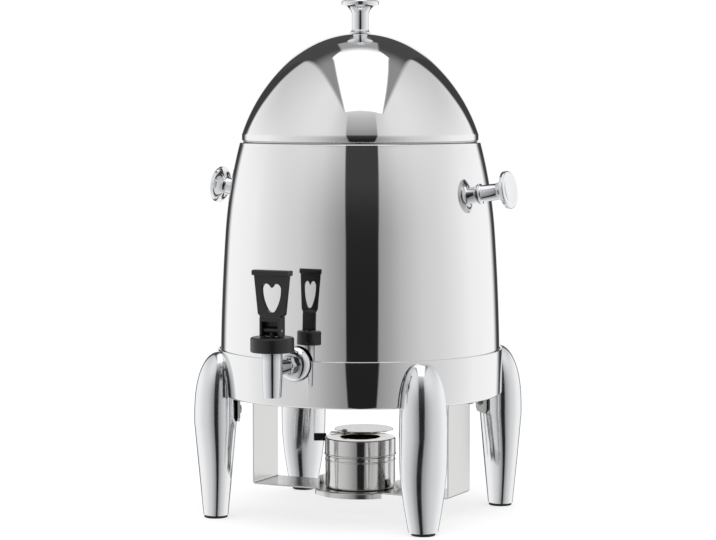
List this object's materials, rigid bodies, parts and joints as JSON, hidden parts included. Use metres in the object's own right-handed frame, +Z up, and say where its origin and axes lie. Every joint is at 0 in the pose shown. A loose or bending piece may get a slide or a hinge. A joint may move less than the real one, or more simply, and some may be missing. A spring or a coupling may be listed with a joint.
{
  "type": "coffee urn",
  "caption": "Free-standing polished coffee urn on cast legs, with a domed lift-off lid, self-closing lever tap, side knobs and a fuel burner in a bracket below.",
  "frame": {"origin": "on the table, under the vessel's axis: the plane the foot pads stand on", "axes": "+Z up along the vessel's axis; the tap points to -Y; the side knobs point to +X and -X"},
  "size_m": [0.3286, 0.3496, 0.511],
  "materials": {
    "vessel_steel": "mirror-polished stainless steel",
    "stand_steel": "mirror-polished stainless steel",
    "inner_steel": "plain rolled stainless sheet",
    "leg_metal": "bright plated casting",
    "knob_metal": "turned and bright plated",
    "tap_metal": "bright plated brass casting",
    "black_plastic": "black moulded, satin gloss",
    "black_rubber": "matt black rubber",
    "seal_silicone": "translucent white silicone",
    "fastener_steel": "plain stainless",
    "bracket_sheet": "satin stainless sheet",
    "burner_steel": "spun stainless, polished"
  },
  "bodies": {
    "urn": {"body_shell": "vessel_steel", "bonnet_seal": "seal_silicone", "bracket_nuts": "fastener_steel", "bracket_screws": "fastener_steel", "burner_bracket": "bracket_sheet", "foot_pads": "black_rubber", "leg_front_left": "leg_metal", "leg_front_right": "leg_metal", "leg_rear_left": "leg_metal", "leg_rear_right": "leg_metal", "leg_screws": "fastener_steel", "leg_tabs": "inner_steel", "leg_washers": "fastener_steel", "side_knob_left": "knob_metal", "side_knob_right": "knob_metal", "side_knob_screws": "fastener_steel", "side_knob_seals": "seal_silicone", "side_knob_washers": "fastener_steel", "stand_ring": "stand_steel", "tank_base": "inner_steel", "tap_body": "tap_metal", "tap_bonnet": "black_plastic", "tap_escutcheon": "tap_metal", "tap_inner_seal": "seal_silicone", "tap_nut": "fastener_steel", "tap_outer_seal": "seal_silicone", "tap_washer": "fastener_steel"},
    "lid": {"lid_dome": "vessel_steel", "lid_collar": "inner_steel", "lid_knob": "knob_metal", "lid_knob_screw": "fastener_steel", "lid_knob_washer": "fastener_steel", "lid_knob_seal": "seal_silicone"},
    "tap_valve": {"valve_stem": "black_plastic", "seat_cup": "seal_silicone", "tap_spring": "fastener_steel"},
    "tap_lever_arm": {"tap_handle": "black_plastic", "tap_pin": "fastener_steel"},
    "burner": {"burner_cup": "burner_steel"},
    "burner_top": {"burner_cover": "burner_steel", "damper_rivet": "fastener_steel"},
    "damper": {"damper_disc": "burner_steel", "damper_grip": "black_plastic"}
  },
  "joints": [
    {"name": "lid_lift", "type": "slide", "parent": "urn", "child": "lid", "axis": [0, 0, 1], "range_m": [0, 0.15]},
    {"name": "valve_lift", "type": "slide", "parent": "urn", "child": "tap_valve", "axis": [0, 0, 1], "range_m": [0, 0.0022], "deforming": ["tap_spring"]},
    {"name": "tap_lever", "type": "hinge", "parent": "tap_valve", "child": "tap_lever_arm", "pos_m": [0, -0.187, 0.199], "axis": [1, 0, 0], "range_deg": [0, 30], "stiffness_Nm_per_rad": 0.03, "springref_deg": -5.73},
    {"name": "burner_lift", "type": "slide", "parent": "urn", "child": "burner", "axis": [0, 0, 1], "range_m": [0, 0.02]},
    {"name": "cover_lift", "type": "slide", "parent": "burner", "child": "burner_top", "axis": [0, 0, 1], "range_m": [0, 0.015]},
    {"name": "damper_swing", "type": "hinge", "parent": "burner_top", "child": "damper", "pos_m": [-0.02603, 0.01684, 0.0765], "axis": [0, 0, 1], "range_deg": [-109.4, 0]}
  ],
  "couplings": [
    {"joint": "valve_lift", "follows": "tap_lever", "m_per_rad": 0.004}
  ]
}
